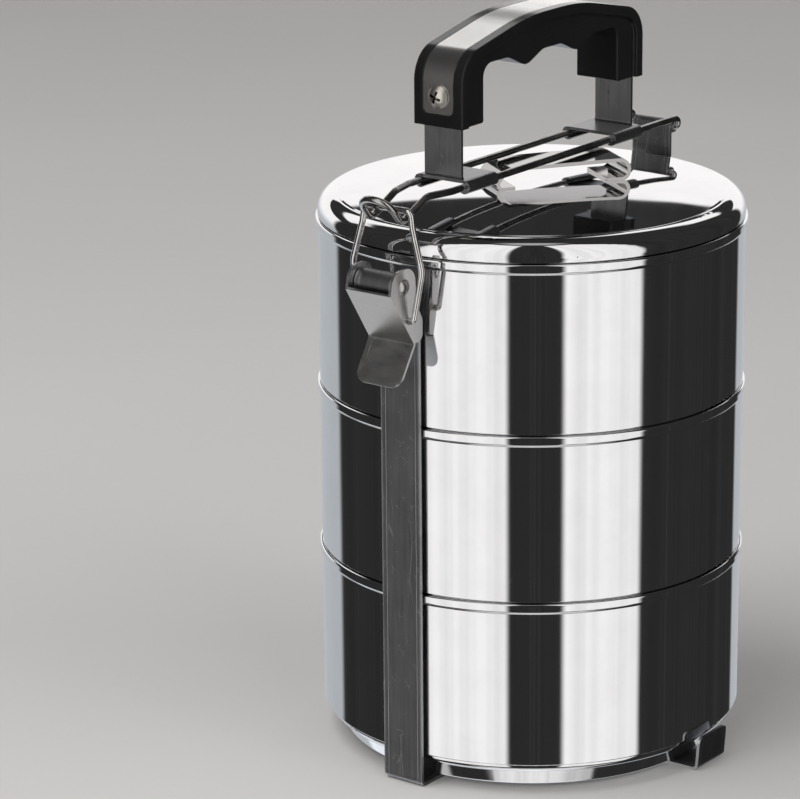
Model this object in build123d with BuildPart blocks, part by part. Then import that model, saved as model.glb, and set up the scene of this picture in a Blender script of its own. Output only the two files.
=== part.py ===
"""Three-bowl tiffin carrier: nested steel bowls and a lid, held by a strap cradle and a
wire top frame with a moulded grip, hinged at one side and latched over centre at the other.

Millimetres, +Z up. The origin is on the table under the middle of the bowls.
X runs from the latch to the hinge, Y through the two foot tabs.
"""

import os
from math import acos, asin, atan2, cos, hypot, radians, sin, tan

from build123d import *

# Bowls: sheet, outer wall, rolled rim and the stepped foot that drops into the rim below
SHEET = 0.8
WALL_R = 69.2
RIM_R = 70.0
RIM_DEPTH = 3.4
BOWL_H = 64.0
BOWL_PITCH = 55.2
BOWL_BASE_Z = 1.25
FOOT_R = 62.0
FOOT_TOP_R = 65.0
FOOT_H = 5.9
FLOOR_RISE = 1.5
HEEL_R = 2.6
NEST_R = 68.0
LEDGE_H = 9.1
TOP_RIM_Z = BOWL_BASE_Z + 2 * BOWL_PITCH + BOWL_H

# Lid: skirt above the top rim, rounded edge, shallow step and low dome, ring that centres it
LID_GAP = 0.3
LID_R = 69.3
LID_SKIRT_Z = TOP_RIM_Z + LID_GAP
LID_SHOULDER_Z = TOP_RIM_Z + 7.2
LID_EDGE_R = 5.8
LID_STEP_R = 62.5
LID_STEP = 0.35
LID_CROWN = 2.4
LID_RING_R = 67.4
LID_RING_DEPTH = 4.6
LID_TOP_Z = LID_SHOULDER_Z + LID_STEP + LID_CROWN

# Lid handle: low strap bridge, welded on and turned out of line with the carrier
LOOP_W = 17.0
LOOP_T = 1.2
LOOP_LEN = 48.5
LOOP_TOP_Z = 192.4
LOOP_FOOT = 8.5
LOOP_SLOPE = 5.5
LOOP_ANGLE = -34.0
LOOP_OFFSET = 7.0

# Strap cradle
STRAP_W = 15.0
STRAP_T = 1.0
STRAP_X = 71.35
TAB_W = 16.0
TAB_H = 11.5
TAB_Y = 71.8
TAB_LEAN = 0.9
JOGGLE_Y = 13.0
RIVET_SPOTS = ((-4.0, 0), (4.0, 0))
RIVET_R = 1.6
RIVET_HEAD_R = 2.6
RIVET_HEAD_H = 0.35

# Latch: eye rolled at the top of the -X upright, lever, pin and wire bail
PIVOT_X = 80.2
PIVOT_Z = 168.8
EYE_R = 4.0
EYE_SLIT = 1.0
LEAN_Z = 152.0
PIN_R = EYE_R - STRAP_T - 0.05
PIN_NECK_R = 1.8
PIN_HEAD_R = 2.6
PIN_HEAD_H = 1.2
LEVER_T = 0.9
EAR_Y = 7.85
EAR_R = 5.6
LEVER_FIT = 0.05
BAIL_R = 1.0
BAIL_DX = 2.6
BAIL_DZ = 11.3
BAIL_FIT = 0.08
BAR_X = 76.6
BAR_Z = 192.0

# Top wire frame, its hook, and the hinge eye at the top of the +X upright
WIRE_R = 1.15
ROD_Y = 8.5
ROD_Z = 194.0
HINGE_Z = 191.0
HINGE_Y = 9.0
HINGE_FIT = 0.08
HINGE_BEND_R = 1.4
HOOK_Y = 5.9
HOOK_BEND_R = 3.2
RAMP_DEG = 25.0
ARM_DEG = 50.0
ARM_LEN = 8.0

# Legs: the foot's long edges are folded round both rods
CLIP_FIT = 0.05
CLIP_IN = 33.0
CLIP_OUT = 48.6
LEG_X = 48.0
LEG_W = 14.2
LEG_T = 1.0
LEG_TOP_Z = 229.0

# Grip
GRIP_X = 50.3
GRIP_IN_X = 37.5
GRIP_BOTTOM_Z = 212.5
GRIP_TOP_Z = 242.8
GRIP_SHOULDER_Z = 235.0
GRIP_CROWN_X = 14.0
GRIP_W = 16.0
FLANGE_W = 18.6
FLANGE_T = 3.4
HOLLOW_Z = 231.0
BUMP_Z = 226.6
BUMP_X = 14.3
TRIM_W = 11.4
TRIM_T = 0.5
TRIM_CORNER_R = 2.0
TRIM_END_Z = 216.5
SCREW_Z = 222.0
SCREW_R = 2.0
SCREW_HEAD_R = 3.7
SCREW_HEAD_H = 2.1
SCREW_RIM_H = 0.6
RECESS_LEN = 4.2
RECESS_W = 0.95
RECESS_DEPTH = 1.3
RECESS_TURN = 20.0
SCREW_LEN = 10.0
SCREW_FIT = 0.05


def rounded(points, closed=True):
    """Draw straight runs with tangent arcs; each point is a position and a corner radius."""
    count = len(points)
    spots = [Vector(*p[:-1]) for p in points]
    ends = []
    for i, (spot, point) in enumerate(zip(spots, points)):
        radius = point[-1]
        at_end = not closed and i in (0, count - 1)
        if radius <= 0 or at_end:
            ends.append((spot, None, spot))
            continue
        back = (spots[i - 1] - spot).normalized()
        ahead = (spots[(i + 1) % count] - spot).normalized()
        half = radians(back.get_angle(ahead)) / 2
        reach = radius / tan(half)
        middle = spot + (back + ahead).normalized() * (radius / sin(half) - radius)
        ends.append((spot + back * reach, middle, spot + ahead * reach))
    for i, (start, middle, end) in enumerate(ends):
        if middle is not None:
            ThreePointArc(start, middle, end)
        if i < count - 1 or closed:
            following = ends[(i + 1) % count][0]
            if (following - end).length > 1e-6:
                Line(end, following)


def strip(points, thick):
    """Outline of a bent strip: points run along one face, the sheet lies to their left.

    Each point is a position and the radius inside the bend there.
    """
    runs = [(b[0] - a[0], b[1] - a[1]) for a, b in zip(points, points[1:])]
    normals = [(-dy / hypot(dx, dy), dx / hypot(dx, dy)) for dx, dy in runs]
    face, back = [], []
    for i, (x, y, radius) in enumerate(points):
        if i in (0, len(points) - 1):
            nx, ny = normals[0] if i == 0 else normals[-1]
            face.append((x, y, 0))
            back.append((x + nx * thick, y + ny * thick, 0))
            continue
        (ax, ay), (bx, by) = normals[i - 1], normals[i]
        scale = thick / (1 + ax * bx + ay * by)
        turns_left = ax * by - ay * bx > 0
        face.append((x, y, radius + thick if turns_left else radius))
        back.append(
            (x + (ax + bx) * scale, y + (ay + by) * scale, radius if turns_left else radius + thick)
        )
    return face + back[::-1]


def cap(radius, height):
    """Middle of a cap's arc: distance from its axis, and height above its rim's plane."""
    ball = (radius**2 + height**2) / (2 * height)
    half = asin(radius / ball) / 2
    return ball * sin(half), height - ball * (1 - cos(half))


def mirrored(half):
    """Carry an outline across the middle plane, first point to last."""
    return half + [(-p[0], *p[1:]) for p in half[::-1]]


# Bowls: the part below the ledge drops into the rim of the bowl underneath
def bowl(base_z):
    top = base_z + BOWL_H
    inner_r = WALL_R - SHEET
    heel_z = base_z + FOOT_H + 0.2
    ledge_z = base_z + LEDGE_H
    floor_z = base_z + FLOOR_RISE
    with BuildPart() as made:
        with BuildSketch(Plane.XZ):
            with BuildLine():
                rounded(
                    [
                        (0, floor_z, 0),
                        (FOOT_R - 5.0, floor_z, 1.2),
                        (FOOT_R - 3.6, base_z, 0.9),
                        (FOOT_R, base_z, 1.2),
                        (FOOT_TOP_R, base_z + FOOT_H, 0.3),
                        (NEST_R, heel_z, HEEL_R),
                        (NEST_R, ledge_z, 0.2),
                        (WALL_R, ledge_z, 0.5),
                        (WALL_R, top - RIM_DEPTH, 0.3),
                        (RIM_R, top - RIM_DEPTH + 0.7, 0.8),
                        (RIM_R, top, 0.75),
                        (inner_r, top, 0.6),
                        (inner_r, ledge_z + SHEET, 0.4),
                        (NEST_R - SHEET, ledge_z + SHEET, 0.3),
                        (NEST_R - SHEET, heel_z + SHEET, HEEL_R - SHEET),
                        (FOOT_TOP_R - 0.5, base_z + FOOT_H + SHEET, 0.6),
                        (FOOT_R - 0.5, base_z + SHEET, 0.7),
                        (FOOT_R - 3.3, base_z + SHEET, 0.4),
                        (FOOT_R - 4.7, floor_z + SHEET, 1.2),
                        (0, floor_z + SHEET, 0),
                    ]
                )
            make_face()
        revolve(axis=Axis.Z)
    return made


bowl_bottom = bowl(BOWL_BASE_Z)
bowl_middle = bowl(BOWL_BASE_Z + BOWL_PITCH)
bowl_top = bowl(BOWL_BASE_Z + 2 * BOWL_PITCH)

# Lid: the inner face follows the outer one, and a ring below centres it in the top rim
with BuildPart() as lid:
    crown_r, crown_z = cap(LID_STEP_R, LID_CROWN)
    edge_z = LID_SHOULDER_Z + LID_STEP
    with BuildSketch(Plane.XZ):
        with BuildLine():
            ThreePointArc((0, LID_TOP_Z), (crown_r, edge_z + crown_z), (LID_STEP_R, edge_z))
            rounded(
                [
                    (LID_STEP_R, edge_z, 0),
                    (LID_STEP_R + 0.5, LID_SHOULDER_Z, 0.3),
                    (LID_R, LID_SHOULDER_Z - 0.3, LID_EDGE_R),
                    (LID_R, LID_SKIRT_Z, 0.3),
                    (LID_RING_R, LID_SKIRT_Z, 0.2),
                    (LID_RING_R, LID_SKIRT_Z - LID_RING_DEPTH, 0.3),
                    (LID_RING_R - SHEET, LID_SKIRT_Z - LID_RING_DEPTH, 0.3),
                    (LID_RING_R - SHEET, LID_SKIRT_Z + SHEET, 0.6),
                    (LID_R - SHEET, LID_SKIRT_Z + SHEET, 0.2),
                    (LID_R - SHEET, LID_SHOULDER_Z - 0.3 - SHEET, LID_EDGE_R - SHEET),
                    (LID_STEP_R, edge_z - SHEET, 0),
                ],
                closed=False,
            )
            ThreePointArc(
                (LID_STEP_R, edge_z - SHEET),
                (crown_r, edge_z + crown_z - SHEET),
                (0, LID_TOP_Z - SHEET),
            )
            Line((0, LID_TOP_Z - SHEET), (0, LID_TOP_Z))
        make_face()
    revolve(axis=Axis.Z)

# Lid handle: the feet turn in under the bridge and follow the dome they are welded to
loop_plane = Plane(
    origin=(LOOP_OFFSET * cos(radians(LOOP_ANGLE)), LOOP_OFFSET * sin(radians(LOOP_ANGLE)), 0),
    x_dir=(cos(radians(LOOP_ANGLE)), sin(radians(LOOP_ANGLE)), 0),
    z_dir=(sin(radians(LOOP_ANGLE)), -cos(radians(LOOP_ANGLE)), 0),
)
with BuildPart() as lid_handle:
    foot_z = LID_TOP_Z - 0.7
    half = LOOP_LEN / 2
    with BuildSketch(loop_plane):
        with BuildLine():
            rounded(
                strip(
                    [
                        (half - LOOP_FOOT, foot_z, 0),
                        (half, foot_z, 2.0),
                        (half, LOOP_TOP_Z, 2.8),
                        (LOOP_SLOPE - half, LOOP_TOP_Z, 2.2),
                        (-half, foot_z, 1.0),
                        (LOOP_FOOT - half, foot_z, 0),
                    ],
                    LOOP_T,
                )
            )
        make_face()
    extrude(amount=LOOP_W / 2, both=True)
    add(lid.part, mode=Mode.SUBTRACT)


# Strap cradle: one strap runs down from the latch, under the bowls and up to the hinge
hinge_bore = WIRE_R + HINGE_FIT
HINGE_X = STRAP_X + hinge_bore
lean = acos((EYE_R - STRAP_T) / hypot(PIVOT_X - STRAP_X, PIVOT_Z - LEAN_Z)) - atan2(
    PIVOT_Z - LEAN_Z, PIVOT_X - STRAP_X
)
eye_start = (
    PIVOT_X - (EYE_R - STRAP_T) * cos(lean),
    PIVOT_Z + (EYE_R - STRAP_T) * sin(lean),
)
with BuildPart() as base_strap:
    with BuildSketch(Plane.XZ):
        with BuildLine():
            rounded(
                strip(
                    [
                        (-eye_start[0], eye_start[1], 0),
                        (-STRAP_X, LEAN_Z, 3.0),
                        (-STRAP_X, 0, 1.6),
                        (STRAP_X, 0, 1.6),
                        (STRAP_X, HINGE_Z, 0),
                    ],
                    STRAP_T,
                )
            )
        make_face()
    extrude(amount=STRAP_W / 2, both=True)
    with BuildSketch(Plane.XZ):
        with Locations((-PIVOT_X, PIVOT_Z)):
            Circle(EYE_R)
            Circle(EYE_R - STRAP_T, mode=Mode.SUBTRACT)
        with Locations((EYE_R * 0.55 - PIVOT_X, PIVOT_Z - EYE_R * 0.8)):
            Rectangle(EYE_SLIT, 3.2, rotation=-35, mode=Mode.SUBTRACT)
        with Locations((HINGE_X, HINGE_Z)):
            Circle(hinge_bore + STRAP_T)
            Circle(hinge_bore, mode=Mode.SUBTRACT)
        with Locations((HINGE_X, HINGE_Z - hinge_bore - STRAP_T / 2)):
            Rectangle(EYE_SLIT, 1.6 * STRAP_T, mode=Mode.SUBTRACT)
    extrude(amount=STRAP_W / 2, both=True)
    with BuildSketch():
        with Locations(*RIVET_SPOTS):
            Circle(RIVET_R)
    extrude(amount=2 * STRAP_T, mode=Mode.SUBTRACT)

# Cross strap: steps over the other one and turns up in a foot tab at each end
with BuildPart() as cross_strap:
    with BuildSketch(Plane.YZ):
        with BuildLine():
            rounded(
                strip(
                    [
                        (-TAB_Y - TAB_LEAN, TAB_H, 0),
                        (-TAB_Y, 0, 1.2),
                        (-JOGGLE_Y, 0, 0.8),
                        (-JOGGLE_Y + 3.5, STRAP_T, 0.8),
                        (JOGGLE_Y - 3.5, STRAP_T, 0.8),
                        (JOGGLE_Y, 0, 0.8),
                        (TAB_Y, 0, 1.2),
                        (TAB_Y + TAB_LEAN, TAB_H, 0),
                    ],
                    STRAP_T,
                )
            )
        make_face()
    extrude(amount=TAB_W / 2, both=True)
    tab_corners = cross_strap.edges().filter_by(Axis.X, reverse=True).group_by(Axis.Z)[-1]
    fillet(tab_corners.filter_by(lambda e: e.length < 2 * STRAP_T), radius=2.0)
    with BuildSketch():
        with Locations(*RIVET_SPOTS):
            Circle(RIVET_R)
    extrude(amount=2 * STRAP_T, mode=Mode.SUBTRACT)


# Rivets through both straps: flush below, low heads above
def rivet(spot):
    with BuildPart() as made:
        with BuildSketch():
            with Locations(spot):
                Circle(RIVET_R)
        extrude(amount=2 * STRAP_T)
        with BuildSketch(Plane.XY.offset(2 * STRAP_T)):
            with Locations(spot):
                Circle(RIVET_HEAD_R)
        extrude(amount=RIVET_HEAD_H, taper=30)
    return made


rivet_left, rivet_right = (rivet(spot) for spot in RIVET_SPOTS)


# Latch lever: two ears, a sloping web between them and a finger tab
with BuildPart() as lever:
    web_top, bend, tip = (-6.8, -1.6), (4.8, -19.2), (-3.2, -31.7)
    with BuildSketch(Plane.XZ.offset(-EAR_Y - LEVER_T)):
        with BuildLine():
            rounded(
                [
                    (web_top[0] - PIVOT_X, web_top[1] + PIVOT_Z, 0.5),
                    (-EAR_R - PIVOT_X, EAR_R + PIVOT_Z, EAR_R - 0.8),
                    (EAR_R - PIVOT_X, EAR_R + PIVOT_Z, EAR_R - 0.8),
                    (6.2 - PIVOT_X, PIVOT_Z - 6.5, 5.0),
                    (9.3 - PIVOT_X, PIVOT_Z - 12.0, 3.0),
                    (9.3 - PIVOT_X, PIVOT_Z - 18.6, 2.4),
                    (bend[0] - PIVOT_X, bend[1] + PIVOT_Z, 0.4),
                ]
            )
        make_face()
        with Locations((-PIVOT_X, PIVOT_Z)):
            Circle(PIN_NECK_R + LEVER_FIT, mode=Mode.SUBTRACT)
        with Locations((BAIL_DX - PIVOT_X, PIVOT_Z - BAIL_DZ)):
            Circle(BAIL_R + BAIL_FIT, mode=Mode.SUBTRACT)
    extrude(amount=LEVER_T)
    mirror(about=Plane.XZ)
    with BuildSketch(Plane.XZ):
        with BuildLine():
            rounded(
                strip(
                    [(x - PIVOT_X, z + PIVOT_Z, 0.6) for x, z in (web_top, bend, tip)],
                    LEVER_T,
                )
            )
        make_face()
    extrude(amount=EAR_Y + LEVER_T, both=True)
    lowest = lever.edges().sort_by(Axis.Z)[:8]
    fillet(lowest.filter_by(lambda e: e.length < 1.5 * LEVER_T), radius=4.0)

# Latch pin, riveted over outside the ears
with BuildPart() as latch_pin:
    ear_out = EAR_Y + LEVER_T
    head_r, head_h = cap(PIN_HEAD_R, PIN_HEAD_H)
    core = EAR_Y - LEVER_FIT
    with BuildSketch(Plane.YZ.offset(-PIVOT_X)):
        with BuildLine():
            Polyline(
                (-ear_out, PIVOT_Z + PIN_HEAD_R),
                (-ear_out, PIVOT_Z + PIN_NECK_R),
                (-core, PIVOT_Z + PIN_NECK_R),
                (-core, PIVOT_Z + PIN_R),
                (core, PIVOT_Z + PIN_R),
                (core, PIVOT_Z + PIN_NECK_R),
                (ear_out, PIVOT_Z + PIN_NECK_R),
                (ear_out, PIVOT_Z + PIN_HEAD_R),
            )
            for end in (-1, 1):
                ThreePointArc(
                    (end * ear_out, PIVOT_Z + PIN_HEAD_R),
                    (end * (ear_out + head_h), PIVOT_Z + head_r),
                    (end * (ear_out + PIN_HEAD_H), PIVOT_Z),
                )
            Line((ear_out + PIN_HEAD_H, PIVOT_Z), (-ear_out - PIN_HEAD_H, PIVOT_Z))
        make_face()
    revolve(axis=Axis((-PIVOT_X, 0, PIVOT_Z), (0, 1, 0)))

# Wire bail: hung in the lever's ears, its bar lies in the hook
with BuildPart() as bail:
    low = Vector(BAIL_DX - PIVOT_X, 0, PIVOT_Z - BAIL_DZ)
    high = Vector(-BAR_X, 0, BAR_Z)
    bail_half = []
    for share, y, radius in (
        (0, EAR_Y - 0.75, 0),
        (0, 10.4, 1.3),
        (0.467, 13.3, 7.0),
        (0.85, 9.6, 4.0),
        (1, 8.9, 2.2),
    ):
        spot = low + (high - low) * share
        bail_half.append((spot.X, y, spot.Z, radius))
    with BuildLine() as route:
        rounded(bail_half + [(x, -y, z, r) for x, y, z, r in bail_half[::-1]], closed=False)
    with BuildSketch(Plane(origin=bail_half[0][:3], z_dir=(0, 1, 0))):
        Circle(BAIL_R)
    sweep(path=route.wires()[0])

# Top wire: one ring, with the hook at the latch and the hinge bar through the far eye
bend_half = radians(RAMP_DEG + ARM_DEG) / 2
valley_deg = radians(-90 + (RAMP_DEG - ARM_DEG) / 2)
valley = (
    BAR_X - HOOK_BEND_R / cos(bend_half) * cos(valley_deg),
    BAR_Z + HOOK_BEND_R / cos(bend_half) * sin(valley_deg),
)
ramp_start_x = valley[0] - (ROD_Z - valley[1]) / tan(radians(RAMP_DEG))
arm_run = ARM_LEN + HOOK_BEND_R * tan(bend_half)
hook_tip = (
    valley[0] + arm_run * cos(radians(ARM_DEG)),
    valley[1] + arm_run * sin(radians(ARM_DEG)),
)
with BuildPart() as top_wire:
    wire_half = [
        (HINGE_X, HINGE_Y, HINGE_Z, HINGE_BEND_R),
        (HINGE_X, HINGE_Y, ROD_Z, HINGE_BEND_R),
        (HINGE_X - 12.0, ROD_Y, ROD_Z, 8.0),
        (-ramp_start_x + 10.0, ROD_Y, ROD_Z, 8.0),
        (-ramp_start_x, HOOK_Y + 0.3, ROD_Z, 5.0),
        (-valley[0], HOOK_Y, valley[1], HOOK_BEND_R),
        (-hook_tip[0], HOOK_Y, hook_tip[1], HOOK_Y - 0.4),
    ]
    with BuildLine() as ring:
        rounded(
            [(HINGE_X, 0, HINGE_Z, 0)]
            + wire_half
            + [(x, -y, z, r) for x, y, z, r in wire_half[::-1]]
            + [(HINGE_X, 0, HINGE_Z, 0)],
            closed=False,
        )
    with BuildSketch(Plane(origin=(HINGE_X, 0, HINGE_Z), z_dir=(0, 1, 0))):
        Circle(WIRE_R)
    sweep(path=ring.wires()[0])


# Legs: a flat strip runs down out of the grip and turns in as a foot across both rods
def handle_leg(side):
    inner = WIRE_R + CLIP_FIT
    foot_z = ROD_Z + inner
    with BuildPart() as made:
        with BuildSketch(Plane.YZ.offset(CLIP_IN)):
            with Locations((-ROD_Y, ROD_Z), (ROD_Y, ROD_Z)):
                Circle(inner + LEG_T)
            for edge in (-1, 1):
                with Locations((edge * (ROD_Y - inner), ROD_Z - 0.1)):
                    Rectangle(2 * inner, 2 * inner + 0.2, mode=Mode.SUBTRACT)
            with Locations((0, foot_z + LEG_T / 2)):
                Rectangle(2 * ROD_Y, LEG_T)
            with Locations((-ROD_Y, ROD_Z), (ROD_Y, ROD_Z)):
                Circle(inner, mode=Mode.SUBTRACT)
        extrude(amount=CLIP_OUT - CLIP_IN)
        with BuildSketch(Plane.XZ):
            with BuildLine():
                rounded(
                    strip(
                        [(CLIP_IN, foot_z, 0), (LEG_X, foot_z, 0.8), (LEG_X, LEG_TOP_Z, 0)], LEG_T
                    )
                )
            make_face()
        extrude(amount=LEG_W / 2, both=True)
        with BuildSketch(Plane.YZ.offset(LEG_X)):
            with Locations((0, SCREW_Z)):
                Circle(SCREW_R + SCREW_FIT)
        extrude(amount=-2 * LEG_T, mode=Mode.SUBTRACT)
    with BuildPart() as placed:
        add(made.part if side > 0 else made.part.mirror(Plane.YZ))
    return placed


handle_leg_left = handle_leg(-1)
handle_leg_right = handle_leg(1)

# Grip: arched bar with finger hollows, wider along its outer edge, recessed for the trim
grip_outer = mirrored(
    [(-GRIP_X, GRIP_BOTTOM_Z, 0.8), (-GRIP_X, GRIP_SHOULDER_Z, 11.0), (-GRIP_CROWN_X, GRIP_TOP_Z, 90.0)]
)
grip_inner = mirrored(
    [
        (-GRIP_IN_X, GRIP_BOTTOM_Z, 0.8),
        (-GRIP_IN_X, HOLLOW_Z, 4.5),
        (-BUMP_X - 9.8, HOLLOW_Z, 7.0),
        (-BUMP_X, BUMP_Z, 6.0),
        (-BUMP_X + 9.3, HOLLOW_Z - 0.4, 6.0),
    ]
)


def edge_strip(end_z, thick):
    """Strip under the grip's outer line, from one end height over the top to the other."""
    line = [(-GRIP_X, end_z, 0)] + grip_outer[1:-1] + [(GRIP_X, end_z, 0)]
    return strip([(x, z, max(r - thick, 0)) for x, z, r in line[::-1]], thick)


with BuildPart() as trim_strip:
    with BuildSketch(Plane.XZ):
        with BuildLine():
            rounded(edge_strip(TRIM_END_Z, TRIM_T))
        make_face()
    extrude(amount=TRIM_W / 2, both=True)
    trim_ends = trim_strip.edges().filter_by(Axis.X).group_by(Axis.Z)[0]
    fillet(trim_ends, radius=TRIM_CORNER_R)
    with BuildSketch(Plane.YZ.offset(-GRIP_X - 1)):
        with Locations((0, SCREW_Z)):
            Circle(SCREW_R + SCREW_FIT)
    extrude(amount=2 * GRIP_X + 2, mode=Mode.SUBTRACT)

with BuildPart() as grip:
    with BuildSketch(Plane.XZ):
        with BuildLine():
            rounded(grip_outer + grip_inner[::-1])
        make_face()
    extrude(amount=GRIP_W / 2, both=True)
    with BuildSketch(Plane.XZ):
        with BuildLine():
            rounded(edge_strip(GRIP_BOTTOM_Z, FLANGE_T))
        make_face()
    extrude(amount=FLANGE_W / 2, both=True)
    add(trim_strip.part, mode=Mode.SUBTRACT)
    with Locations(*[(side * (LEG_X - LEG_T / 2), 0, LEG_TOP_Z / 2) for side in (-1, 1)]):
        Box(LEG_T + 0.1, LEG_W + 0.1, LEG_TOP_Z + 0.2, mode=Mode.SUBTRACT)
    for side in (-1, 1):
        with BuildSketch(Plane.YZ.offset(side * GRIP_X)):
            with Locations((0, SCREW_Z)):
                Circle(SCREW_R + SCREW_FIT)
        extrude(amount=-side * (SCREW_LEN + 0.6), mode=Mode.SUBTRACT)


# Handle screws: pan heads with a cross recess
def screw(side):
    crown_r, crown_h = cap(SCREW_HEAD_R, SCREW_HEAD_H - SCREW_RIM_H)
    tip_x = GRIP_X - SCREW_LEN
    rim_x = GRIP_X + SCREW_RIM_H
    head_x = GRIP_X + SCREW_HEAD_H
    with BuildPart() as made:
        with BuildSketch(Plane.XZ):
            with BuildLine():
                Polyline(
                    (side * tip_x, SCREW_Z),
                    (side * tip_x, SCREW_Z + SCREW_R - 0.5),
                    (side * (tip_x + 0.8), SCREW_Z + SCREW_R),
                    (side * GRIP_X, SCREW_Z + SCREW_R),
                    (side * GRIP_X, SCREW_Z + SCREW_HEAD_R),
                    (side * rim_x, SCREW_Z + SCREW_HEAD_R),
                )
                ThreePointArc(
                    (side * rim_x, SCREW_Z + SCREW_HEAD_R),
                    (side * (rim_x + crown_h), SCREW_Z + crown_r),
                    (side * head_x, SCREW_Z),
                )
                Line((side * head_x, SCREW_Z), (side * tip_x, SCREW_Z))
            make_face()
        revolve(axis=Axis((0, 0, SCREW_Z), (1, 0, 0)))
        for turn in (0, 90):
            with BuildSketch(Plane.YZ.offset(side * (head_x + 0.1))):
                with Locations((0, SCREW_Z)):
                    Rectangle(RECESS_LEN, RECESS_W, rotation=turn + RECESS_TURN)
            extrude(amount=-side * RECESS_DEPTH, taper=6, mode=Mode.SUBTRACT)
    return made


screw_left = screw(-1)
screw_right = screw(1)

PARTS = {
    "base_strap": base_strap,
    "cross_strap": cross_strap,
    "rivet_left": rivet_left,
    "rivet_right": rivet_right,
    "bowl_bottom": bowl_bottom,
    "bowl_middle": bowl_middle,
    "bowl_top": bowl_top,
    "lid": lid,
    "lid_handle": lid_handle,
    "lever": lever,
    "latch_pin": latch_pin,
    "bail": bail,
    "top_wire": top_wire,
    "handle_leg_left": handle_leg_left,
    "handle_leg_right": handle_leg_right,
    "grip": grip,
    "trim_strip": trim_strip,
    "screw_left": screw_left,
    "screw_right": screw_right,
}
os.makedirs("parts", exist_ok=True)
for name, made in PARTS.items():
    made.part.label = name
    export_step(made.part, f"parts/{name}.step")
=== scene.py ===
"""Looks for the tiffin carrier: mirror-polished bowls, worn steel straps, glossy grip.

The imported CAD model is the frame. Every CAD node keeps its shape and gets a procedural
material. The only mesh made here is the studio's floor.
"""

from math import atan2, pi, radians

import bpy
from mathutils import Matrix, Vector


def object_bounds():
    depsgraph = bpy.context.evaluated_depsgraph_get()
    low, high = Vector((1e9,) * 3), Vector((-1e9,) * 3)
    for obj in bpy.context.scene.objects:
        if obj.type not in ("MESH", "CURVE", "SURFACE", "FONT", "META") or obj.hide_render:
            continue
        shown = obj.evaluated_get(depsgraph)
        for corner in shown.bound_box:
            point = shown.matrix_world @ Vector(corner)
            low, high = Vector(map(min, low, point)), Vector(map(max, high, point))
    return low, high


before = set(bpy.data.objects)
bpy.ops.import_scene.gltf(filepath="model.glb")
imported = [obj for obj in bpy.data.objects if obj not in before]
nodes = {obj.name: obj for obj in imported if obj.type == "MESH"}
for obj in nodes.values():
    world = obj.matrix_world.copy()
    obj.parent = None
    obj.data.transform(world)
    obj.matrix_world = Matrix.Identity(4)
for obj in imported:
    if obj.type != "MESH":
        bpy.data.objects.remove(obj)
cad_low, cad_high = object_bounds()

MM = 0.001

# Half widths of the long strap, which runs along X, and of the cross strap, along Y
STRAP_HALF_W = 7.5 * MM
TAB_HALF_W = 8.0 * MM
ACROSS_X, ACROSS_Y = 0, 1

# Strip edges: how far in the rubbed edge with its painted highlight reaches, and the fine line
# beside it
EDGE_WEAR_AND_HIGHLIGHT = 0.7 * MM
LINE_INSET = 1.7 * MM
LINE_W = 0.22 * MM

# How near a wall has to be for painted shade to darken a screw's recess, and how round the grip's
# edges look
RECESS_REACH = 1.0 * MM
GRIP_EDGE_R = 0.9 * MM

# Noise scales per metre that draw brushing out along one axis
BRUSHED_Z = (900, 900, 40)
BRUSHED_Y = (900, 40, 900)
WIPED_ROUND = (60, 60, 900)
DRAWN_X = (60, 900, 900)

# Bump depths in metres
SHEET_WAVE = 0.00004
WIPE_DEPTH = 0.0000012
BRUSH_DEPTH = 0.000012
SCRATCH_DEPTH = 0.00003
LINE_DEPTH = 0.00005
PLATE_DEPTH = 0.00001
DRAW_DEPTH = 0.000008
PEEL_DEPTH = 0.000006
PAPER_DEPTH = 0.00004

# Camera: where it stands, how it is turned and its lens
CAMERA_AT = Vector((-0.9421, -0.6607, 0.4624))
CAMERA_HEADING = radians(-52.813)
CAMERA_DOWN = radians(16.95)
CAMERA_ROLL = radians(-0.518)
CAMERA_LENS = 164.5
CAMERA_SENSOR = 36
CAMERA_CLIP = (0.05, 30)

# The studio is drawn by direction, in degrees: the turn is counted from the camera's side and
# the height from the horizon. A pair of numbers is where an edge starts and ends.
CAMERA_SIDE = atan2(CAMERA_AT.y, CAMERA_AT.x)
DEGREES = 180 / pi
GLOW = 0.03
PANELS = (
    # left, right, low, high and brightness: two fronts, then the pale table in front of the
    # foot, under the latch and straight below
    (-61, -12.6, -43, 76, 1.08),
    (17.5, 61, -43, 76, 1.08),
    (-50, 75, -74, -57, 0.65),
    (-150, -90, -74, -38, 0.6),
    (-200, 200, -95, -74, 0.95),
)
PANEL_SOFT = 2.0
WALL_LEFT, WALL_RIGHT = (145, 150), (-131, -125)
WALL_TOP, WALL_FADE, WALL_DIM, WALL_BRIGHT = (16.5, 17.0), (-14, 4), 0.52, 1.08
STRIP_LOW, STRIP_HIGH, STRIP_BRIGHT = (26, 28.5), (38, 43), 1.1
CEILING, CEILING_BRIGHT = (78, 86), 0.45
COOL_FADE = (-12, 2)
COOL, WARM = (0.90, 0.95, 1.0, 1), (1.0, 0.985, 0.975, 1)
FLOOR_REACH = 8


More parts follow.
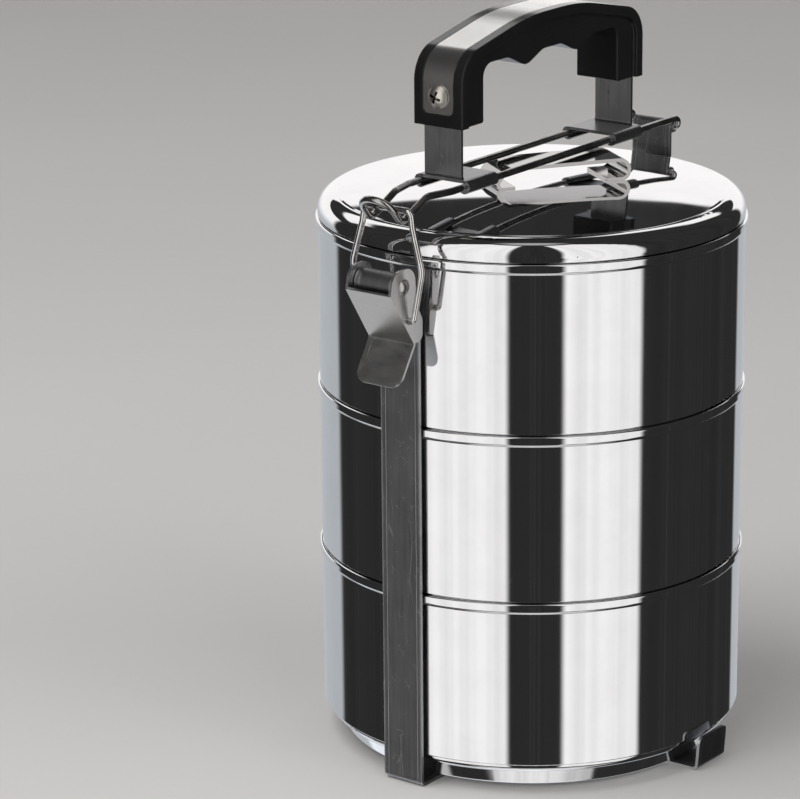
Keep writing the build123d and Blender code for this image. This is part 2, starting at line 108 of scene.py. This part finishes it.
class Tree:
    """Short ways to add shader nodes to one node tree."""

    def __init__(self, tree):
        self.tree = tree
        tree.nodes.clear()

    def add(self, kind, **values):
        node = self.tree.nodes.new(kind)
        for key, value in values.items():
            if hasattr(node, key):
                setattr(node, key, value)
            else:
                self.feed(node.inputs[key.replace("_", " ")], value)
        return node

    def feed(self, socket, value):
        if isinstance(value, bpy.types.NodeSocket):
            self.tree.links.new(value, socket)
        else:
            socket.default_value = value

    def math(self, operation, first, second=0.0, third=0.0):
        node = self.tree.nodes.new("ShaderNodeMath")
        node.operation = operation
        for socket, value in zip(node.inputs, (first, second, third)):
            self.feed(socket, value)
        return node.outputs[0]

    def mix(self, share, first, second):
        """Colour between first and second."""
        node = self.tree.nodes.new("ShaderNodeMix")
        node.data_type = "RGBA"
        factor, colour_a, colour_b = (node.inputs[i] for i in (0, 6, 7))
        self.feed(factor, share)
        self.feed(colour_a, first)
        self.feed(colour_b, second)
        return node.outputs[2]

    def ramp(self, value, low, high, out_low=0.0, out_high=1.0):
        """A smooth step from out_low to out_high while value goes from low to high."""
        node = self.tree.nodes.new("ShaderNodeMapRange")
        node.interpolation_type = "SMOOTHSTEP"
        for socket, given in zip(node.inputs, (value, low, high, out_low, out_high)):
            self.feed(socket, given)
        return node.outputs[0]

    def fall(self, value, low, high):
        """1 below low and 0 above high."""
        return self.ramp(value, low, high, 1.0, 0.0)

    def place(self, stretch=(1, 1, 1), turn=(0, 0, 0)):
        """Object coordinates in metres, turned and stretched."""
        coords = self.add("ShaderNodeTexCoord")
        mapping = self.add("ShaderNodeMapping")
        self.feed(mapping.inputs[0], coords.outputs["Object"])
        mapping.inputs["Rotation"].default_value = turn
        mapping.inputs["Scale"].default_value = stretch
        return mapping.outputs[0]

    def noise(self, where, scale, detail=3.0, rough=0.55):
        node = self.add("ShaderNodeTexNoise")
        self.feed(node.inputs["Vector"], where)
        node.inputs["Scale"].default_value = scale
        node.inputs["Detail"].default_value = detail
        node.inputs["Roughness"].default_value = rough
        return node.outputs["Fac"]

    def scratches(self, where, scale, share, width=0.05):
        """Thin marks: 1 on a mark, 0 elsewhere, on about that share of the cells."""
        cells = self.add("ShaderNodeTexVoronoi")
        cells.feature = "DISTANCE_TO_EDGE"
        self.feed(cells.inputs["Vector"], where)
        cells.inputs["Scale"].default_value = scale
        line = self.fall(cells.outputs["Distance"], 0.0, width)
        patch = self.noise(where, scale * 0.6, detail=1.0)
        return self.math("MULTIPLY", line, self.ramp(patch, 0.62 - share, 0.72 - share))

    def bump(self, height, distance, strength=1.0, under=None):
        node = self.add("ShaderNodeBump")
        self.feed(node.inputs["Height"], height)
        node.inputs["Distance"].default_value = distance
        node.inputs["Strength"].default_value = strength
        if under is not None:
            self.feed(node.inputs["Normal"], under)
        return node.outputs[0]

    def finish(self, **values):
        """The surface shader and the output; values go to its sockets by name."""
        shader = self.tree.nodes.new("ShaderNodeBsdfPrincipled")
        for key, value in values.items():
            self.feed(shader.inputs[key.replace("_", " ")], value)
        output = self.tree.nodes.new("ShaderNodeOutputMaterial")
        self.tree.links.new(shader.outputs[0], output.inputs[0])


def material(name):
    made = bpy.data.materials.new(name)
    made.use_nodes = True
    return made, Tree(made.node_tree)


def dress(made, *names):
    """Puts a material on CAD nodes."""
    for name in names:
        slots = nodes[name].data.materials
        slots.clear()
        slots.append(made)


# Steel: polished sheet, brushed strip, plated screw and drawn wire
def polished_steel(name, tint=(0.80, 0.80, 0.81), rough=0.035, wave=SHEET_WAVE):
    """Polished sheet: faint waves, fine wiping marks and a few hairline scratches."""
    made, t = material(name)
    where = t.place()
    slow = t.noise(where, 22, detail=2.0)
    wipe = t.noise(t.place(WIPED_ROUND), 1.0, detail=4.0)
    slanted = t.place(stretch=(1, 1, 0.25), turn=(0.3, 0.5, 0.2))
    hair = t.scratches(slanted, 55, share=0.02, width=0.012)
    smear = t.noise(where, 60, detail=4.0, rough=0.65)
    roughness = t.math("MULTIPLY_ADD", smear, 0.05, rough - 0.015)
    roughness = t.math("MULTIPLY_ADD", hair, 0.03, roughness)
    smeared = (*[channel * 0.955 for channel in tint], 1)
    colour = t.mix(t.ramp(smear, 0.35, 0.75), (*tint, 1), smeared)
    normal = t.bump(slow, wave, strength=0.8)
    normal = t.bump(wipe, WIPE_DEPTH, strength=0.5, under=normal)
    t.finish(Base_Color=colour, Metallic=1.0, Roughness=roughness, Normal=normal)
    return made


def brushed_strip(name, dark, light, stretch, rough, wear, across, half_w):
    """Rolled strip: brushing along one direction, darker stain, lighter rubbed scratches.

    across is the axis over the strip's width. With it the long edges are rubbed bright, partly wear
    and partly a painted highlight, and a fine rolled line runs inside each, painted lighter as a
    highlight.
    """
    made, t = material(name)
    where = t.place()
    brush = t.noise(t.place(stretch), 1.0, detail=5.0, rough=0.7)
    stain = t.noise(where, 70, detail=4.0, rough=0.6)
    slanted = t.place(stretch=(1, 1, 0.12), turn=(0.05, 0.1, 0.3))
    marks = t.scratches(slanted, 260, share=0.06 * wear, width=0.03)
    nicks = t.scratches(t.place(turn=(0.9, 0.4, 0.1)), 420, share=0.03 * wear, width=0.04)
    worn = t.math("MAXIMUM", marks, nicks)
    tone = t.math("MULTIPLY_ADD", brush, 0.7, t.math("MULTIPLY", stain, 0.3))
    base = t.mix(tone, dark, light)
    colour = t.mix(t.math("MULTIPLY", worn, 0.55), base, (0.66, 0.66, 0.67, 1))
    roughness = t.math("MULTIPLY_ADD", brush, 0.16, rough - 0.08)
    roughness = t.math("MULTIPLY_ADD", stain, 0.10, roughness)
    normal = t.bump(brush, BRUSH_DEPTH, strength=0.45)
    normal = t.bump(worn, SCRATCH_DEPTH, strength=0.5, under=normal)
    if across is not None:
        split = t.add("ShaderNodeSeparateXYZ")
        t.feed(split.inputs[0], where)
        side = t.math("ABSOLUTE", split.outputs[across])
        # Rubbed wear and a painted highlight along the long edges, patchy with the stain
        edge_wear_and_highlight = t.ramp(side, half_w - EDGE_WEAR_AND_HIGHLIGHT, half_w - 0.2 * EDGE_WEAR_AND_HIGHLIGHT)
        edge_wear_and_highlight = t.math("MULTIPLY", edge_wear_and_highlight, t.ramp(stain, 0.3, 0.5, 0.55, 1.0))
        # Painted highlight: the rolled line is made lighter in colour as well as given a bump
        from_line = t.math("ABSOLUTE", t.math("SUBTRACT", side, half_w - LINE_INSET))
        line = t.fall(from_line, 0.3 * LINE_W, LINE_W)
        colour = t.mix(t.math("MULTIPLY", edge_wear_and_highlight, 0.8), colour, (0.72, 0.72, 0.73, 1))
        colour = t.mix(t.math("MULTIPLY", line, 0.5), colour, (0.62, 0.62, 0.63, 1))
        normal = t.bump(line, LINE_DEPTH, strength=0.6, under=normal)
    t.finish(Base_Color=colour, Metallic=1.0, Roughness=roughness, Normal=normal)
    return made


def plated_screw(name):
    """Nickel plate, dull down in the recess and under the head's edge, where painted shade also
    darkens it.
    """
    made, t = material(name)
    tone = t.noise(t.place(), 400)
    open_sky = t.add("ShaderNodeAmbientOcclusion", samples=8)
    open_sky.inputs["Distance"].default_value = RECESS_REACH
    # Painted shade: where walls close in, the colour goes near black
    lit = t.ramp(open_sky.outputs["AO"], 0.45, 0.85)
    plate = t.mix(tone, (0.66, 0.63, 0.56, 1), (0.80, 0.77, 0.69, 1))
    t.finish(
        Base_Color=t.mix(lit, (0.02, 0.018, 0.015, 1), plate),
        Metallic=1.0,
        Roughness=t.math("MULTIPLY_ADD", lit, -0.14, 0.50),
        Normal=t.bump(tone, PLATE_DEPTH, strength=0.4),
    )
    return made


def drawn_wire(name, dark, light, rough):
    """Wire with draw marks along it and small rubbed patches."""
    made, t = material(name)
    draw = t.noise(t.place(DRAWN_X), 1.0, detail=4.0)
    patch = t.noise(t.place(), 140, detail=4.0, rough=0.6)
    colour = t.mix(t.ramp(patch, 0.3, 0.7), dark, light)
    roughness = t.math("MULTIPLY_ADD", patch, 0.18, rough - 0.06)
    t.finish(
        Base_Color=colour,
        Metallic=1.0,
        Roughness=roughness,
        Normal=t.bump(draw, DRAW_DEPTH, strength=0.4),
    )
    return made


def moulded_grip(name):
    """Glossy black moulding with a faint orange-peel surface and fine handling marks."""
    made, t = material(name)
    where = t.place()
    peel = t.noise(where, 900, detail=2.0)
    smear = t.noise(where, 55, detail=4.0, rough=0.6)
    marks = t.scratches(t.place(turn=(0.4, 0.2, 0.7)), 190, share=0.03, width=0.02)
    roughness = t.math("MULTIPLY_ADD", smear, 0.12, 0.13)
    roughness = t.math("MULTIPLY_ADD", marks, 0.15, roughness)
    colour = t.mix(smear, (0.008, 0.008, 0.0085, 1), (0.016, 0.016, 0.017, 1))
    softened = t.add("ShaderNodeBevel", samples=4)
    softened.inputs["Radius"].default_value = GRIP_EDGE_R
    normal = t.bump(peel, PEEL_DEPTH, strength=0.35, under=softened.outputs[0])
    t.finish(
        Base_Color=colour,
        Roughness=roughness,
        Normal=normal,
        Coat_Weight=0.25,
        Coat_Roughness=0.08,
    )
    return made


dress(polished_steel("bowl_polish"), "bowl_bottom", "bowl_middle", "bowl_top")
dress(polished_steel("lid_polish", rough=0.022), "lid")
dress(polished_steel("loop_polish", (0.46, 0.45, 0.445), 0.07, wave=0.00008), "lid_handle")

STRAP_TONES = (0.17, 0.17, 0.175, 1), (0.40, 0.40, 0.41, 1)
RIVET_TONES = (0.2, 0.2, 0.2, 1), (0.4, 0.4, 0.4, 1)
LEG_TONES = (0.30, 0.30, 0.31, 1), (0.55, 0.55, 0.56, 1)
LEVER_TONES = (0.42, 0.415, 0.41, 1), (0.74, 0.735, 0.73, 1)
PIN_TONES = (0.34, 0.335, 0.33, 1), (0.65, 0.64, 0.63, 1)
BAIL_TONES = (0.52, 0.51, 0.50, 1), (0.76, 0.75, 0.74, 1)
FRAME_TONES = (0.34, 0.335, 0.33, 1), (0.58, 0.57, 0.56, 1)
STRIPS = (
    # material, dark and light, noise scales, roughness, wear, axis across, half width, nodes
    ("strap_brushed", STRAP_TONES, BRUSHED_Z, 0.34, 1.0, ACROSS_Y, STRAP_HALF_W, "base_strap"),
    ("cross_brushed", STRAP_TONES, BRUSHED_Y, 0.34, 0.8, ACROSS_X, TAB_HALF_W, "cross_strap"),
    ("rivet_turned", RIVET_TONES, (500, 500, 500), 0.34, 0.5, None, 0, "rivet_left", "rivet_right"),
    ("leg_brushed", LEG_TONES, BRUSHED_Z, 0.26, 0.5, None, 0, "handle_leg_left", "handle_leg_right"),
    ("lever_brushed", LEVER_TONES, (500, 120, 500), 0.26, 0.9, None, 0, "lever"),
    ("pin_turned", PIN_TONES, (300, 900, 300), 0.22, 0.5, None, 0, "latch_pin"),
)
for name, tones, stretch, rough, wear, across, half_w, *worn_by in STRIPS:
    dress(brushed_strip(name, *tones, stretch, rough, wear, across, half_w), *worn_by)

dress(drawn_wire("bail_drawn", *BAIL_TONES, rough=0.14), "bail")
dress(drawn_wire("frame_drawn", *FRAME_TONES, rough=0.18), "top_wire")
dress(moulded_grip("grip_moulded"), "grip")
dress(polished_steel("trim_polish", (0.90, 0.89, 0.88), 0.22, wave=0.00003), "trim_strip")
dress(plated_screw("screw_nickel"), "screw_left", "screw_right")


# Studio: a pale floor that mirrors don't pick up, so that they show the panels in full
floor_mesh = bpy.data.meshes.new("floor")
corners = [(x * FLOOR_REACH, y * FLOOR_REACH, 0) for x, y in ((-1, -1), (1, -1), (1, 1), (-1, 1))]
floor_mesh.from_pydata(corners, [], [(0, 1, 2, 3)])
floor = bpy.data.objects.new("floor", floor_mesh)
bpy.context.scene.collection.objects.link(floor)
floor_made, t = material("floor_paper")
floor_grain = t.bump(t.noise(t.place(), 900), PAPER_DEPTH, strength=0.3)
mottle = t.noise(t.place(), 3.0, detail=2.0)
floor_tone = t.mix(mottle, (0.60, 0.59, 0.58, 1), (0.66, 0.65, 0.64, 1))
t.finish(Base_Color=floor_tone, Roughness=0.9, Normal=floor_grain)
floor_mesh.materials.append(floor_made)
floor.visible_glossy = False


def between(t, value, low, high):
    """1 from low to high, with soft edges."""
    above = t.ramp(value, low - PANEL_SOFT, low + PANEL_SOFT)
    return t.math("MULTIPLY", above, t.fall(value, high - PANEL_SOFT, high + PANEL_SOFT))


def studio():
    """Light and dark panels in the world's shader, for the mirrors to show."""
    world = bpy.data.worlds.new("studio")
    bpy.context.scene.world = world
    world.use_nodes = True
    t = Tree(world.node_tree)
    split = t.add("ShaderNodeSeparateXYZ")
    t.feed(split.inputs[0], t.add("ShaderNodeTexCoord").outputs["Generated"])
    x, y, z = split.outputs
    turn = t.math("SUBTRACT", t.math("ARCTAN2", y, x), CAMERA_SIDE)
    turn = t.math("MULTIPLY", t.math("WRAP", turn, pi, -pi), DEGREES)
    height = t.math("MULTIPLY", t.math("ARCSINE", z), DEGREES)

    # A faint uneven glow with fine upright streaks, then the panels under a slow veil
    streaks = t.add("ShaderNodeCombineXYZ", X=turn, Y=t.math("MULTIPLY", height, 0.02)).outputs[0]
    veil = t.noise(streaks, 0.09, detail=3.0, rough=0.5)
    fine = t.noise(streaks, 0.7, detail=2.0)
    light = t.math("MULTIPLY_ADD", t.ramp(fine, 0.52, 0.75), 0.016, GLOW)
    for left, right, low, high, bright in PANELS:
        panel = t.math("MULTIPLY", between(t, turn, left, right), between(t, height, low, high))
        light = t.math("MULTIPLY_ADD", panel, bright, light)
    light = t.math("MULTIPLY", light, t.ramp(veil, 0.34, 0.60, 0.84, 1.0))

    # The wall behind the object with a strip light over it, and a bright ceiling
    behind = t.math("ADD", t.ramp(turn, *WALL_LEFT), t.fall(turn, *WALL_RIGHT))
    shade = t.ramp(height, *WALL_FADE, WALL_DIM, WALL_BRIGHT)
    wall = t.math("MULTIPLY", t.fall(height, *WALL_TOP), shade)
    strip = t.math("MULTIPLY", t.ramp(height, *STRIP_LOW), t.fall(height, *STRIP_HIGH))
    wall = t.math("MULTIPLY_ADD", strip, STRIP_BRIGHT, wall)
    light = t.math("MULTIPLY_ADD", behind, wall, light)
    light = t.math("MULTIPLY_ADD", t.ramp(height, *CEILING), CEILING_BRIGHT, light)

    tint = t.mix(t.math("MULTIPLY", behind, t.fall(height, *COOL_FADE)), WARM, COOL)
    background = t.add("ShaderNodeBackground", Strength=light, Color=tint)
    output = t.add("ShaderNodeOutputWorld")
    t.tree.links.new(background.outputs[0], output.inputs[0])


studio()


def soft_light(name, at, aim, side, power):
    """A square area lamp that mirrors don't show."""
    lamp = bpy.data.lights.new(name, "AREA")
    lamp.shape = "RECTANGLE"
    lamp.size, lamp.size_y = side, side
    lamp.energy = power
    made = bpy.data.objects.new(name, lamp)
    made.location = at
    made.rotation_mode = "QUATERNION"
    made.rotation_quaternion = (Vector(aim) - Vector(at)).to_track_quat("-Z", "Y")
    made.visible_glossy = False
    bpy.context.scene.collection.objects.link(made)


middle = (cad_low + cad_high) / 2
soft_light("key", at=(-0.6, 0.5, 1.5), aim=middle, side=1.2, power=16)
soft_light("fill", at=(0.3, -1.3, 0.9), aim=middle, side=1.0, power=6)

# Camera
camera_data = bpy.data.cameras.new("camera")
camera_data.lens = CAMERA_LENS
camera_data.sensor_width = CAMERA_SENSOR
camera_data.clip_start, camera_data.clip_end = CAMERA_CLIP
camera = bpy.data.objects.new("camera", camera_data)
camera.location = CAMERA_AT
camera.rotation_mode = "QUATERNION"
camera.rotation_quaternion = (
    Matrix.Rotation(CAMERA_HEADING, 3, "Z")
    @ Matrix.Rotation(pi / 2 - CAMERA_DOWN, 3, "X")
    @ Matrix.Rotation(CAMERA_ROLL, 3, "Z")
).to_quaternion()
bpy.context.scene.collection.objects.link(camera)
bpy.context.scene.camera = camera
bpy.context.scene.view_settings.view_transform = "Standard"
